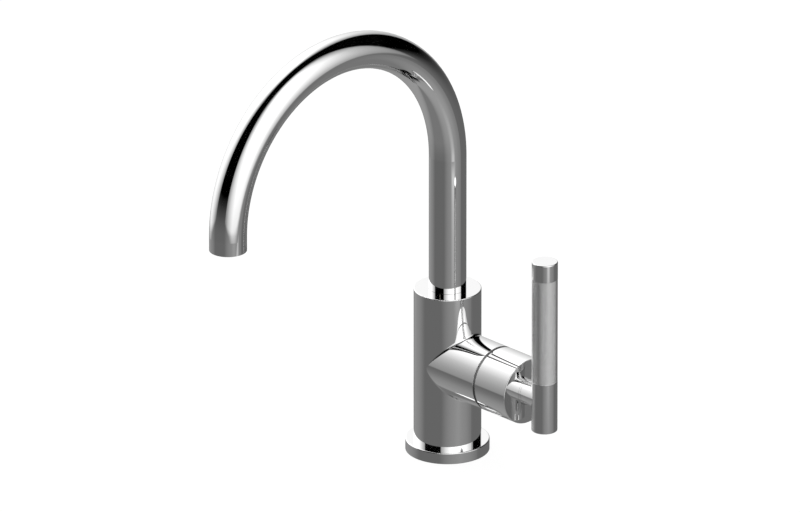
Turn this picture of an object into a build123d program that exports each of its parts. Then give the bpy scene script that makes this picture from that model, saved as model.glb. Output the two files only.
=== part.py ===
"""Single-lever basin mixer: swivel gooseneck spout, side branch, lever with a knurled bar handle.

Millimetres, +Z up. The origin is the centre of the underside that sits on the deck.
The spout points along -Y and the side branch and its lever along +X.
"""
import os
from math import asin, cos, degrees, radians, sin, sqrt, tan

from build123d import *

# Fits, as gaps on the radius or between faces
PRESS = 0.02
CLOSE = 0.05
RUNNING = 0.08
SLIP = 0.1
FREE = 0.3
PAST = 1.0  # how far a cutting shape runs beyond the face that it cuts

# Base flange and body
FLANGE_DIA = 56.0
FLANGE_THICK = 7.8
FLANGE_EDGE = 0.6
BODY_DIA = 45.0
BODY_TOP_Z = 115.6
BODY_EDGE = 0.5
BODY_FOOT_DIA = 35.8
BASE_SEAL_OUTER_DIA = 50.0
BASE_SEAL_WIDTH = 3.0
BASE_SEAL_THICK = 2.1
FOOT_RING_SECTION = 1.5
FOOT_RING_DEPTH = 2.6

# Side branch
BRANCH_Z = 64.4
BRANCH_END_X = 46.8
BRANCH_WALL = 3.0
BRANCH_EDGE = 0.2
JUNCTION_R = 1.8

# Deck fixing and inlets in the underside
INLET_X = -7.5
INLET_Y = 8.5
INLET_THREAD_R = 4.5
INLET_THREAD_DEPTH = 12.0
STUD_X = 10.0
STUD_THREAD_R = 3.4
STUD_THREAD_DEPTH = 16.0

# Waterways, with heights measured from the branch axis
INLET_WAY_R = 3.0
INLET_WAY_RISE = 5.5
OUTLET_WAY_R = 3.8
OUTLET_WAY_DROP = 8.0
RISER_R = 4.0

# Gooseneck spout
TUBE_DIA = 25.0
TUBE_WALL = 1.2
TUBE_FOOT_GAP = 0.1
SPOUT_STRAIGHT = 95.0
BEND_RADIUS = 100.0
SPOUT_DROP = 9.5

# Spout socket in the body and the tail that turns in it
SOCKET_DIA = 20.0
SOCKET_DEPTH = 30.3
GUIDE_RING_WALL = 2.0
GUIDE_RING_HEIGHT = 5.0
THRUST_WASHER_THICK = 2.2
THRUST_WASHER_STEP = 1.0
TAIL_BORE_DIA = 9.0
TAIL_GRIP_LENGTH = 14.0
SPOUT_O_RING_SECTION = 1.6
SPOUT_O_RING_DEPTHS = (9.3, 15.8)
RETAINER_DEPTH = 23.1
RETAINER_THREAD_R = 2.5
RETAINER_POINT_R = 1.75
RETAINER_POINT_REACH = 2.0
RETAINER_SHANK_GAP = 0.4
RETAINER_SINK = 3.0
SPOUT_SWING = 60.0

# Aerator in the outlet
AERATOR_DIA = 20.2
AERATOR_HEIGHT = 7.0
AERATOR_WALL = 1.1
AERATOR_RECESS = 0.4
SLEEVE_RECESS = 0.2
SLEEVE_LIP_THICK = 1.0
AERATOR_SEAL_THICK = 0.9
AERATOR_SEAL_WIDTH = 1.8
JET_R = 0.95
JET_PITCH = 2.5
JET_RINGS = 3
JET_FLOOR = 2.4
SCREEN_LIFT = 4.6
SCREEN_THICK = 0.5
SCREEN_HOLE_R = 0.57

# Ceramic cartridge, with its lengths stacked along X from the seat
CARTRIDGE_DIA = 34.8
CARTRIDGE_WALL = 1.1
SHOULDER_WIDTH = 1.8
BAY_DEPTH = 10.9
BASE_LIFT = 0.3
BASE_FLANGE_THICK = 3.0
BASE_SPIGOT_LENGTH = 2.5
PEG_R = 1.4
PEG_REACH = 2.0
PEG_INSET = 3.2
SEAL_WIDTH = 1.3
PORT_SEAL_SEAT = 1.2
DISC_SEAL_THICK = 1.1
SHOULDER_LENGTH = 4.7
HOUSING_LIP_THICK = 2.2
HOUSING_LIP_WIDTH = 3.6

# Ceramic discs, with places measured from the branch axis
FIXED_DISC_THICK = 4.5
MOVING_DISC_THICK = 4.0
DISC_CLEARANCE = 0.4
DISC_PORT_Y = 5.0
DISC_PORT_RISE = 4.2
DISC_PORT_R = 2.3
DISC_OUTLET_DROP = 6.0
DISC_OUTLET_R = 3.0
POCKET_DEPTH = 2.2
POCKET_MARGIN = 0.4
POCKET_FOOT = 1.8
POCKET_CORNER_R = 4.0

# Disc carrier and the stem guide whose tongues turn it
CARRIER_LENGTH = 6.9
CARRIER_FLAT_DEPTH = 3.5
CARRIER_PEG_R = 1.2
CARRIER_PEG_INSET = 3.0
CARRIER_PEG_LENGTH = 1.5
BALL_SEAT = 4.4
GUIDE_FLANGE_THICK = 2.5
TONGUE_THICK = 2.3
TONGUE_DEPTH = 3.0
TONGUE_EDGE_GAP = 0.75

# Ring nut and the bearing ring that the hub turns on
NUT_THREAD_STEP = 1.6
NUT_THREAD_RELIEF = 1.0
NUT_LENGTH = 8.0
NUT_NOTCH = 4.0
NUT_NOTCH_DEPTH = 2.0
BEARING_RING_WALL = 1.4
BEARING_RING_WIDTH = 2.8
BEARING_RING_INSET = 0.1

# Rotating hub, flush with the branch past a shallow groove
SEAM_GAP = 2.1
SEAM_DEPTH = 1.2
SEAM_CLEARANCE = 0.15
HUB_LENGTH = 27.8
HUB_WALL = 2.9
HUB_END_WALL = 3.2
HUB_EDGE = 0.35
HUB_SEAM_EDGE = 0.2
HUB_SCREW_R = 2.0
HUB_SCREW_BITE = 0.9
HUB_SCREW_LENGTH = 7.5
HUB_SCREW_SHOULDER_GAP = 1.0
LIMIT_RING_THICK = 2.2
LIMIT_RING_GAP = 0.4
HUB_SHOULDER_GAP = 0.5
LUG_INSET = 0.4
LUG_HALF_ANGLE = 8.0
STOP_PLAY_ANGLE = 1.0
LEVER_TURN = 45.0

# Lever: the arm and the stem tilt on one pin that lies just behind the hub's end face
LEVER_TILT = 15.0
PIVOT_PIN_DIA = 2.4
PIVOT_PIN_LENGTH = 24.0
STEM_DIA = 8.0
STEM_NECK_DIA = 4.8
STEM_NECK_LENGTH = 5.0
STEM_BALL_DIA = 7.0
STEM_GRIP_LENGTH = 7.5
ARM_DIA = 16.4
ARM_ROOT_DIA = 18.4
ARM_SEAT_GAP = 0.15
ARM_BACK_LENGTH = 1.8
ARM_SLEEVE_DIA = 12.2
ARM_SLEEVE_LENGTH = 6.2
ARM_SPIGOT_DIA = 9.0
ARM_SPIGOT_REACH = 11.8

# Bar handle, upright across the end of the arm
HANDLE_GAP = 6.85
HANDLE_DIA = 17.3
HANDLE_BELOW_ARM = 22.8
HANDLE_LOWER_LENGTH = 35.3
GRIP_LENGTH = 73.3
GRIP_DIA = 17.2
CAP_LENGTH = 12.15
HANDLE_EDGE = 0.6
HANDLE_SEAM = 0.1
CORE_ROD_DIA = 8.0
CORE_ROD_FOOT_GAP = 1.0
CORE_ROD_CAP_GRIP = 7.0
HANDLE_SCREW_R = 2.5
HANDLE_SCREW_LENGTH = 8.0

# Hexagon key sockets in the grub screws
KEY_SIZE = 2.5
HUB_KEY_SIZE = 2.0
KEY_DEPTH = 3.0

# Places and sizes of the body and spout that follow from the values above
BODY_R = BODY_DIA / 2
FOOT_RING_Z = FLANGE_THICK - FOOT_RING_DEPTH
FOOT_RING_MAJOR_R = BODY_FOOT_DIA / 2 + SLIP / 2 - FOOT_RING_SECTION / 2
SOCKET_FLOOR_Z = BODY_TOP_Z - SOCKET_DEPTH
RETAINER_Z = BODY_TOP_Z - RETAINER_DEPTH
TUBE_FOOT_Z = BODY_TOP_Z + TUBE_FOOT_GAP
BEND_START_Z = BODY_TOP_Z + SPOUT_STRAIGHT
OUTLET_Y = -2 * BEND_RADIUS
OUTLET_Z = BEND_START_Z - SPOUT_DROP
AERATOR_Z = OUTLET_Z + AERATOR_RECESS
AERATOR_END_Z = AERATOR_Z + AERATOR_HEIGHT
TUBE_BORE_R = TUBE_DIA / 2 - TUBE_WALL
SOCKET_R = SOCKET_DIA / 2
TAIL_R = SOCKET_R - RUNNING
GUIDE_RING_R = SOCKET_R + GUIDE_RING_WALL

# Radii of the cartridge, branch and hub that follow from the cartridge's size
CARTRIDGE_R = CARTRIDGE_DIA / 2
NECK_R = CARTRIDGE_R - SHOULDER_WIDTH
CAVITY_R = NECK_R - CARTRIDGE_WALL
BOSS_R = NECK_R - HOUSING_LIP_WIDTH
LIMIT_RING_BORE_R = BOSS_R + LIMIT_RING_GAP
BAY_R = CARTRIDGE_R + FREE
NUT_THREAD_R = BAY_R + NUT_THREAD_STEP
BRANCH_R = NUT_THREAD_R + BRANCH_WALL
HUB_BORE_R = BRANCH_R - HUB_WALL
BEARING_SEAT_R = HUB_BORE_R - BEARING_RING_WALL
PEG_Y = CARTRIDGE_R - PEG_INSET

# Stations along the branch axis
SEAT_X = BRANCH_END_X - BAY_DEPTH
BASE_X = SEAT_X + BASE_LIFT
HOUSING_X = BASE_X + BASE_FLANGE_THICK
SHOULDER_X = HOUSING_X + SHOULDER_LENGTH
NUT_END_X = SHOULDER_X + NUT_LENGTH
FIXED_DISC_X = HOUSING_X + BASE_SPIGOT_LENGTH
MOVING_DISC_X = FIXED_DISC_X + FIXED_DISC_THICK
CARRIER_X = MOVING_DISC_X + MOVING_DISC_THICK
CARRIER_END_X = CARRIER_X + CARRIER_LENGTH
TONGUE_X = CARRIER_END_X - TONGUE_DEPTH
GUIDE_X = CARRIER_END_X + FREE
LIP_X = GUIDE_X + GUIDE_FLANGE_THICK + FREE
HOUSING_END_X = LIP_X + HOUSING_LIP_THICK
LIMIT_RING_X = HOUSING_END_X + SLIP
LIMIT_RING_END_X = LIMIT_RING_X + LIMIT_RING_THICK
HUB_START_X = BRANCH_END_X + SEAM_GAP
HUB_END_X = HUB_START_X + HUB_LENGTH
HUB_INNER_X = HUB_END_X - HUB_END_WALL
HUB_SHOULDER_X = LIMIT_RING_END_X + HUB_SHOULDER_GAP
HUB_SCREW_X = HUB_SHOULDER_X + HUB_SCREW_SHOULDER_GAP + HUB_SCREW_R
HUB_SCREW_TOP_Z = BRANCH_Z - BOSS_R + HUB_SCREW_BITE - PRESS

# Lever and handle places; the stem slopes in the arm, so that it swings evenly about the branch axis
PIVOT_X = HUB_INNER_X + PIVOT_PIN_DIA / 2
PIN_HOLE_R = PIVOT_PIN_DIA / 2 + CLOSE
STEM_SLOPE = LEVER_TILT / 2
BALL_X = CARRIER_X + BALL_SEAT
STEM_REACH = (PIVOT_X - BALL_X) / cos(radians(STEM_SLOPE))
HANDLE_FACE_X = HUB_END_X + HANDLE_GAP
HANDLE_X = HANDLE_FACE_X + HANDLE_DIA / 2
SPIGOT_END_X = HANDLE_FACE_X + ARM_SPIGOT_REACH
HANDLE_BOTTOM_Z = BRANCH_Z - HANDLE_BELOW_ARM
GRIP_Z = HANDLE_BOTTOM_Z + HANDLE_LOWER_LENGTH
CAP_Z = GRIP_Z + GRIP_LENGTH
HANDLE_TOP_Z = CAP_Z + CAP_LENGTH
ROD_BOTTOM_Z = BRANCH_Z + ARM_SPIGOT_DIA / 2 + CORE_ROD_FOOT_GAP
ROD_TOP_Z = CAP_Z + CORE_ROD_CAP_GRIP

# Room that the stem, the arm's sleeve and the arm's back end need in the stem guide as they tilt
STEM_SLOT_HALF = STEM_DIA / 2 / cos(radians(STEM_SLOPE)) + FREE
STEM_SLOT_HALF += (PIVOT_X - GUIDE_X) * tan(radians(STEM_SLOPE))
ARM_SLEEVE_ROOM_R = ARM_SLEEVE_DIA / 2 + ARM_SLEEVE_LENGTH * sin(radians(STEM_SLOPE)) + FREE
ARM_SLEEVE_ROOM_X = PIVOT_X - ARM_SLEEVE_LENGTH - ARM_SLEEVE_DIA / 2 * sin(radians(STEM_SLOPE)) - FREE
ARM_ROOT_R = ARM_ROOT_DIA / 2
ARM_BACK_R = sqrt(ARM_ROOT_R ** 2 - ARM_BACK_LENGTH ** 2)
ARM_ROOM_X = PIVOT_X - ARM_BACK_LENGTH - ARM_BACK_R * sin(radians(LEVER_TILT)) - FREE

# Moving disc and carrier, sized by the travel that the stem gives them
DISC_DROP = STEM_REACH * sin(radians(STEM_SLOPE))
DISC_Z = BRANCH_Z - DISC_DROP
MOVING_DISC_R = CAVITY_R - DISC_DROP - DISC_CLEARANCE
TONGUE_Y = MOVING_DISC_R - CARRIER_FLAT_DEPTH

FROM_BASE = (Align.CENTER, Align.CENTER, Align.MIN)
FROM_BACK = (Align.MIN, Align.CENTER, Align.CENTER)


def along_x(shape, x, y=0.0, z=BRANCH_Z):
    """Lays a shape that was built up from the XY plane along X, from x on."""
    return Pos(x, y, z) * Rot(0, 90, 0) * shape


def rod_x(radius, x0, x1, y=0.0, z=BRANCH_Z):
    """A round bar along X."""
    return along_x(Cylinder(radius, x1 - x0, align=FROM_BASE), x0, y, z)


def rod_y(radius, y0, y1, x, z):
    """A round bar along Y."""
    return Pos(x, y0, z) * Rot(-90, 0, 0) * Cylinder(radius, y1 - y0, align=FROM_BASE)


def rod_z(radius, z0, z1, x=0.0, y=0.0):
    """A round bar along Z."""
    return Pos(x, y, z0) * Cylinder(radius, z1 - z0, align=FROM_BASE)


def ring_x(outer, inner, x0, x1, y=0.0, z=BRANCH_Z):
    """A plain ring whose axis is along X."""
    return rod_x(outer, x0, x1, y, z) - rod_x(inner, x0 - PAST, x1 + PAST, y, z)


def ring_z(outer, inner, z0, z1, x=0.0, y=0.0):
    """A plain ring whose axis is along Z."""
    return rod_z(outer, z0, z1, x, y) - rod_z(inner, z0 - PAST, z1 + PAST, x, y)


def slice_z(radius, height, half_angle, middle):
    """A pie slice about Z, from height / 2 below the XY plane to height / 2 above it."""
    turn = Pos(0, 0, -height / 2) * Rot(0, 0, middle - half_angle)
    return turn * Cylinder(radius, height, arc_size=2 * half_angle, align=(Align.NONE,) * 3)


def slant_rod(radius, start, end):
    """A round bar that runs past both its ends."""
    a, b = Vector(*start), Vector(*end)
    along = (b - a).normalized()
    plane = Plane(origin=a - along * PAST, z_dir=along)
    return plane * Cylinder(radius, (b - a).length + 2 * PAST, align=FROM_BASE)


def hex_socket(across):
    """A hexagon key socket, cut down from the XY plane."""
    return extrude(RegularPolygon(across / 2, 6, major_radius=False), -KEY_DEPTH)


def round_top(shape, radius):
    """Rounds the outer edge of the highest face."""
    return fillet(shape.edges().filter_by(GeomType.CIRCLE).group_by(Axis.Z)[-1], radius)


def round_bottom(shape, radius):
    """Rounds the outer edge of the lowest face."""
    return fillet(shape.edges().filter_by(GeomType.CIRCLE).group_by(Axis.Z)[0], radius)


def along_stem(shape):
    """Lays a shape that was built up Z from the pivot along the closed lever's sloping stem."""
    return Pos(PIVOT_X, 0, BRANCH_Z) * Rot(0, 90 - STEM_SLOPE, 0) * shape


def arm_ball(radius):
    """A ball about the pivot, for the arm's round root and for its seat in the hub."""
    return Pos(PIVOT_X, 0, BRANCH_Z) * Sphere(radius)


def limit_slice(half_angle):
    """Pie slice about the branch axis, centred on straight up, that spans the limit ring."""
    middle = (LIMIT_RING_X + HUB_SHOULDER_X) / 2
    return along_x(slice_z(2 * BRANCH_R, 4 * LIMIT_RING_THICK, half_angle, 180), middle)


def pin_hole():
    """Running hole for the pivot pin, right through the arm and the stem."""
    return rod_y(PIN_HOLE_R, -ARM_DIA, ARM_DIA, PIVOT_X, BRANCH_Z)


def hub_screw_hole(inner):
    """Threaded hole under the hub, from the given distance below the branch axis outwards."""
    return rod_z(HUB_SCREW_R + CLOSE, BRANCH_Z - BRANCH_R - PAST, BRANCH_Z - inner, HUB_SCREW_X)


def carrier_pegs(radius):
    """Two pegs by which the carrier drives the moving disc."""
    y = MOVING_DISC_R - CARRIER_PEG_INSET
    return [rod_x(radius, CARRIER_X - CARRIER_PEG_LENGTH, CARRIER_X + PAST, side * y, DISC_Z)
            for side in (-1, 1)]


def seat_ports():
    """Centres (y, z) and radii of the three ports at the cartridge seat."""
    rise, drop = BRANCH_Z + INLET_WAY_RISE, BRANCH_Z - OUTLET_WAY_DROP
    return [(-INLET_Y, rise, INLET_WAY_R), (INLET_Y, rise, INLET_WAY_R), (0.0, drop, OUTLET_WAY_R)]


def disc_ports():
    """Centres (y, z) and radii of the three ports through the fixed disc."""
    rise, drop = BRANCH_Z + DISC_PORT_RISE, BRANCH_Z - DISC_OUTLET_DROP
    return [(-DISC_PORT_Y, rise, DISC_PORT_R), (DISC_PORT_Y, rise, DISC_PORT_R),
            (0.0, drop, DISC_OUTLET_R)]


def jet_places():
    """Centres of the outlet jets, on rings about the outlet's axis."""
    places = [(0.0, OUTLET_Y)]
    for ring in range(1, JET_RINGS + 1):
        count = 6 * ring
        for i in range(count):
            angle = radians(360 * i / count)
            places.append((ring * JET_PITCH * cos(angle), OUTLET_Y + ring * JET_PITCH * sin(angle)))
    return places


def base_flange():
    """Round base plate under the body, grooved below for its seal."""
    disc = round_top(rod_z(FLANGE_DIA / 2, 0, FLANGE_THICK), FLANGE_EDGE)
    disc -= rod_z(BODY_FOOT_DIA / 2 + SLIP, -PAST, FLANGE_THICK + PAST)
    outer = BASE_SEAL_OUTER_DIA / 2
    return disc - ring_z(outer + SLIP, outer - BASE_SEAL_WIDTH - SLIP, -PAST, BASE_SEAL_THICK + SLIP)


def base_seal():
    """Flat rubber ring between the base plate and the deck."""
    outer = BASE_SEAL_OUTER_DIA / 2
    return ring_z(outer, outer - BASE_SEAL_WIDTH, 0, BASE_SEAL_THICK)


def foot_ring():
    """The O-ring that centres the base plate on the body's foot."""
    return Pos(0, 0, FOOT_RING_Z) * Torus(FOOT_RING_MAJOR_R, FOOT_RING_SECTION / 2)


def waterways():
    """Hot, cold and mixed passages cut through the body."""
    ways = rod_z(RISER_R, BRANCH_Z - OUTLET_WAY_DROP - OUTLET_WAY_R, SOCKET_FLOOR_Z + PAST)
    for y, z, radius in seat_ports():
        if y:
            ways += rod_z(radius, INLET_THREAD_DEPTH - PAST, z + radius, INLET_X, y)
            ways += rod_z(INLET_THREAD_R, -PAST, INLET_THREAD_DEPTH, INLET_X, y)
            ways += rod_x(radius, INLET_X - radius, SEAT_X + PAST, y, z)
        else:
            ways += rod_x(radius, 0, SEAT_X + PAST, y, z)
    return ways


def spout_socket():
    """The stepped bore in the body's top that the spout turns in, with its screw hole."""
    socket = rod_z(SOCKET_R, SOCKET_FLOOR_Z, BODY_TOP_Z + PAST)
    socket += rod_z(GUIDE_RING_R, BODY_TOP_Z - GUIDE_RING_HEIGHT, BODY_TOP_Z + PAST)
    return socket + rod_y(RETAINER_THREAD_R + CLOSE, 0, BODY_R + PAST, 0, RETAINER_Z)


def cartridge_bay():
    """The bore, thread and peg holes in the branch that take the cartridge."""
    bay = rod_x(BAY_R, SEAT_X, HUB_START_X)
    bay += rod_x(NUT_THREAD_R, SHOULDER_X - NUT_THREAD_RELIEF, HUB_START_X)
    for side in (-1, 1):
        bay += rod_x(PEG_R + SLIP, SEAT_X - PEG_REACH - FREE, SEAT_X + PAST, side * PEG_Y)
    return bay


def body():
    """Body and side branch in one casting, with all its bores and the step that closes the seam's groove."""
    shape = round_top(rod_z(BODY_R, FLANGE_THICK, BODY_TOP_Z), BODY_EDGE)
    shape += along_x(round_top(Cylinder(BRANCH_R, BRANCH_END_X, align=FROM_BASE), BRANCH_EDGE), 0)
    shape = fillet(shape.edges().filter_by(GeomType.BSPLINE), JUNCTION_R)
    shape += rod_x(BRANCH_R - SEAM_DEPTH, BRANCH_END_X - PAST, HUB_START_X - SEAM_CLEARANCE)
    shape += rod_z(BODY_FOOT_DIA / 2, 0, FLANGE_THICK + PAST)
    groove_half = FOOT_RING_SECTION / 2 + FREE
    groove_r = FOOT_RING_MAJOR_R - FOOT_RING_SECTION / 2 - PRESS
    shape -= ring_z(BODY_FOOT_DIA, groove_r, FOOT_RING_Z - groove_half, FOOT_RING_Z + groove_half)
    shape -= rod_z(STUD_THREAD_R, -PAST, STUD_THREAD_DEPTH, STUD_X, 0)
    return shape - waterways() - spout_socket() - cartridge_bay()


def spout_path():
    """Centre line: up from the body, half a turn forward, then down to the outlet."""
    up = Line((0, 0, TUBE_FOOT_Z), (0, 0, BEND_START_Z))
    over = ThreePointArc((0, 0, BEND_START_Z), (0, -BEND_RADIUS, BEND_START_Z + BEND_RADIUS),
                         (0, OUTLET_Y, BEND_START_Z))
    down = Line((0, OUTLET_Y, BEND_START_Z), (0, OUTLET_Y, OUTLET_Z))
    return Wire([up, over, down])


def spout_tube():
    """Bent tube of the gooseneck."""
    path = spout_path()
    start = Plane(origin=(0, 0, TUBE_FOOT_Z), z_dir=(0, 0, 1))
    outer = sweep(start * Circle(TUBE_DIA / 2), path)
    inner = sweep(start * Circle(TUBE_BORE_R), path)
    return outer - inner


def o_ring_centres():
    """Heights of the two O-rings on the spout's tail."""
    return [BODY_TOP_Z - depth for depth in SPOUT_O_RING_DEPTHS]


def swing_slot():
    """Arc slot in the tail that the retaining screw's point runs in."""
    floor_r = TAIL_R - RETAINER_POINT_REACH - FREE
    half = RETAINER_POINT_R + 2 * SLIP
    slot = ring_z(SOCKET_DIA, floor_r, RETAINER_Z - half, RETAINER_Z + half)
    point_angle = degrees(asin(half / floor_r))
    return slot & Pos(0, 0, RETAINER_Z) * slice_z(2 * SOCKET_DIA, 4 * half, SPOUT_SWING + point_angle, 90)


def spout_tail():
    """Turned spigot in the tube's foot, with O-ring grooves and the slot that stops the swing."""
    bottom = SOCKET_FLOOR_Z + THRUST_WASHER_THICK + FREE
    top = TUBE_FOOT_Z + TAIL_GRIP_LENGTH
    tail = rod_z(TAIL_R, bottom, TUBE_FOOT_Z)
    tail += rod_z(TUBE_BORE_R - PRESS, TUBE_FOOT_Z, top)
    tail -= rod_z(TAIL_BORE_DIA / 2, bottom - PAST, top + PAST)
    groove_half = SPOUT_O_RING_SECTION / 2 + FREE
    for z in o_ring_centres():
        tail -= ring_z(SOCKET_DIA, TAIL_R - SPOUT_O_RING_SECTION - PRESS, z - groove_half, z + groove_half)
    return tail - swing_slot()


def spout_o_rings():
    """Two O-rings that seal the tail in the body."""
    section_r = SPOUT_O_RING_SECTION / 2
    return [Pos(0, 0, z) * Torus(TAIL_R - section_r, section_r) for z in o_ring_centres()]


def spout_guide_ring():
    """Plastic ring that carries the spout's foot and keeps it upright."""
    return ring_z(GUIDE_RING_R - PRESS, SOCKET_R, BODY_TOP_Z - GUIDE_RING_HEIGHT, TUBE_FOOT_Z - SLIP)


def spout_thrust_washer():
    """Plastic washer under the spout's tail."""
    return ring_z(SOCKET_R - SLIP, TAIL_BORE_DIA / 2 + THRUST_WASHER_STEP, SOCKET_FLOOR_Z,
                  SOCKET_FLOOR_Z + THRUST_WASHER_THICK)


def spout_retaining_screw():
    """Grub screw in the back of the body, its plain point in the tail's slot."""
    shank_start, shank_end = SOCKET_R + RETAINER_SHANK_GAP, BODY_R - RETAINER_SINK
    screw = rod_y(RETAINER_THREAD_R, shank_start, shank_end, 0, RETAINER_Z)
    screw += rod_y(RETAINER_POINT_R, TAIL_R - RETAINER_POINT_REACH, shank_start + PAST, 0, RETAINER_Z)
    return screw - Pos(0, shank_end, RETAINER_Z) * Rot(-90, 0, 0) * hex_socket(KEY_SIZE)


def aerator_sleeve():
    """Brass ring brazed in the spout's end, with a lip that the aerator's seal meets."""
    lip_z = AERATOR_END_Z + AERATOR_SEAL_THICK
    outer = TUBE_BORE_R - PRESS
    sleeve = ring_z(outer, AERATOR_DIA / 2 + PRESS, OUTLET_Z + SLEEVE_RECESS, lip_z, 0, OUTLET_Y)
    lip_bore = AERATOR_DIA / 2 - AERATOR_SEAL_WIDTH
    return sleeve + ring_z(outer, lip_bore, lip_z, lip_z + SLEEVE_LIP_THICK, 0, OUTLET_Y)


def aerator_body():
    """Plastic insert with a floor of round jets."""
    outer = AERATOR_DIA / 2
    shape = rod_z(outer, AERATOR_Z, AERATOR_END_Z, 0, OUTLET_Y)
    shape -= rod_z(outer - AERATOR_WALL, AERATOR_Z + JET_FLOOR, AERATOR_END_Z + PAST, 0, OUTLET_Y)
    return shape - [rod_z(JET_R, AERATOR_Z - PAST, AERATOR_Z + JET_FLOOR + PAST, x, y)
                    for x, y in jet_places()]


def aerator_screen():
    """Pierced steel disc that breaks up the flow above the jets."""
    z0 = AERATOR_Z + SCREEN_LIFT
    disc = rod_z(AERATOR_DIA / 2 - AERATOR_WALL - PRESS, z0, z0 + SCREEN_THICK, 0, OUTLET_Y)
    return disc - [rod_z(SCREEN_HOLE_R, z0 - PAST, z0 + SCREEN_THICK + PAST, x, y) for x, y in jet_places()]


def aerator_seal():
    """Flat rubber ring between the aerator and the sleeve's lip."""
    outer = AERATOR_DIA / 2
    return ring_z(outer - SLIP, outer - AERATOR_SEAL_WIDTH, AERATOR_END_Z,
                  AERATOR_END_Z + AERATOR_SEAL_THICK, 0, OUTLET_Y)


def cartridge_base():
    """Foot of the cartridge with three ports, seal seats on both faces and two locating pegs."""
    shape = rod_x(CARTRIDGE_R, BASE_X, HOUSING_X)
    shape += rod_x(CAVITY_R - SLIP, HOUSING_X, FIXED_DISC_X)
    for side in (-1, 1):
        shape += rod_x(PEG_R, SEAT_X - PEG_REACH, BASE_X + PAST, side * PEG_Y)
    for (sy, sz, radius), (dy, dz, inner) in zip(seat_ports(), disc_ports()):
        shape -= slant_rod(min(radius, inner), (BASE_X, sy, sz), (FIXED_DISC_X, dy, dz))
        shape -= rod_x(radius + SEAL_WIDTH + SLIP, BASE_X - PAST, BASE_X + PORT_SEAL_SEAT, sy, sz)
        disc_seat_x = FIXED_DISC_X - DISC_SEAL_THICK
        shape -= rod_x(inner + SEAL_WIDTH + SLIP, disc_seat_x, FIXED_DISC_X + PAST, dy, dz)
    return shape


def port_seals():
    """Three rubber rings between the seat and the cartridge's foot."""
    return [ring_x(radius + SEAL_WIDTH, radius, SEAT_X, BASE_X + PORT_SEAL_SEAT, y, z)
            for y, z, radius in seat_ports()]


def disc_seals():
    """Three rubber rings between the cartridge's foot and the fixed disc."""
    return [ring_x(radius + SEAL_WIDTH, radius, FIXED_DISC_X - DISC_SEAL_THICK, FIXED_DISC_X, y, z)
            for y, z, radius in disc_ports()]


def fixed_disc():
    """Ceramic disc with the three ports."""
    shape = rod_x(CAVITY_R - SLIP, FIXED_DISC_X, MOVING_DISC_X)
    for y, z, radius in disc_ports():
        shape -= rod_x(radius, FIXED_DISC_X - PAST, MOVING_DISC_X + PAST, y, z)
    return shape


def moving_disc():
    """Sliding ceramic disc, shown closed: its pocket joins the inlets to the outlet when it rises."""
    shape = rod_x(MOVING_DISC_R, MOVING_DISC_X, CARRIER_X, 0, DISC_Z)
    top = BRANCH_Z + DISC_PORT_RISE - DISC_PORT_R - POCKET_MARGIN
    bottom = BRANCH_Z - DISC_OUTLET_DROP - DISC_OUTLET_R - POCKET_FOOT
    width = 2 * (DISC_PORT_Y + DISC_PORT_R + POCKET_MARGIN)
    pocket = extrude(RectangleRounded(top - bottom, width, POCKET_CORNER_R), POCKET_DEPTH)
    shape -= along_x(pocket, MOVING_DISC_X, 0, (top + bottom) / 2)
    return shape - carrier_pegs(CARRIER_PEG_R)


def disc_carrier():
    """Plastic slide on the moving disc, with flats for the guide and a pocket for the stem's ball."""
    flat_x = TONGUE_X - FREE
    slab = Box(CARRIER_END_X - flat_x, 2 * (TONGUE_Y - FREE), 2 * MOVING_DISC_R, align=FROM_BACK)
    shape = rod_x(MOVING_DISC_R, CARRIER_X, flat_x, 0, DISC_Z)
    shape += rod_x(MOVING_DISC_R, flat_x, CARRIER_END_X, 0, DISC_Z) & Pos(flat_x, 0, DISC_Z) * slab
    shape += carrier_pegs(CARRIER_PEG_R - SLIP)
    ball_r = STEM_BALL_DIA / 2
    return shape - rod_x(ball_r + 2 * SLIP, BALL_X - ball_r - FREE, CARRIER_END_X + PAST, 0, DISC_Z)


def stem_guide():
    """Turns in the housing with the hub: flange, two tongues that turn the carrier, slotted boss."""
    shape = rod_x(CAVITY_R - FREE, GUIDE_X, GUIDE_X + GUIDE_FLANGE_THICK)
    shape += rod_x(BOSS_R, GUIDE_X, HUB_INNER_X - SLIP)
    outer_y = TONGUE_Y + TONGUE_THICK
    half_span = sqrt((CAVITY_R - TONGUE_EDGE_GAP) ** 2 - outer_y ** 2)
    tongue = Box(GUIDE_X + PAST - TONGUE_X, TONGUE_THICK, 2 * half_span, align=FROM_BACK)
    for side in (-1, 1):
        shape += Pos(TONGUE_X, side * (TONGUE_Y + TONGUE_THICK / 2), BRANCH_Z) * tongue
    slot = extrude(SlotOverall(2 * STEM_SLOT_HALF, STEM_DIA + 2 * FREE), HUB_INNER_X - GUIDE_X + PAST)
    shape -= along_x(slot, GUIDE_X - PAST)
    shape -= rod_x(ARM_SLEEVE_ROOM_R, ARM_SLEEVE_ROOM_X, HUB_INNER_X)
    shape -= rod_x(ARM_ROOT_R + 2 * FREE, ARM_ROOM_X, HUB_INNER_X)
    return shape - hub_screw_hole(BOSS_R - HUB_SCREW_BITE)


def stem():
    """Steel stem: ball end in the disc carrier, outer end pinned in the lever arm."""
    shoulder = STEM_NECK_LENGTH - STEM_REACH
    shape = Pos(0, 0, -STEM_REACH) * Sphere(STEM_BALL_DIA / 2)
    shape += rod_z(STEM_NECK_DIA / 2, -STEM_REACH, shoulder + PAST)
    shape += rod_z(STEM_DIA / 2, shoulder, STEM_GRIP_LENGTH)
    return along_stem(shape) - pin_hole()


def pivot_pin():
    """Steel pin that the lever tilts on, held across the hub's end wall."""
    half = PIVOT_PIN_LENGTH / 2
    return rod_y(PIVOT_PIN_DIA / 2, -half, half, PIVOT_X, BRANCH_Z)


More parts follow.
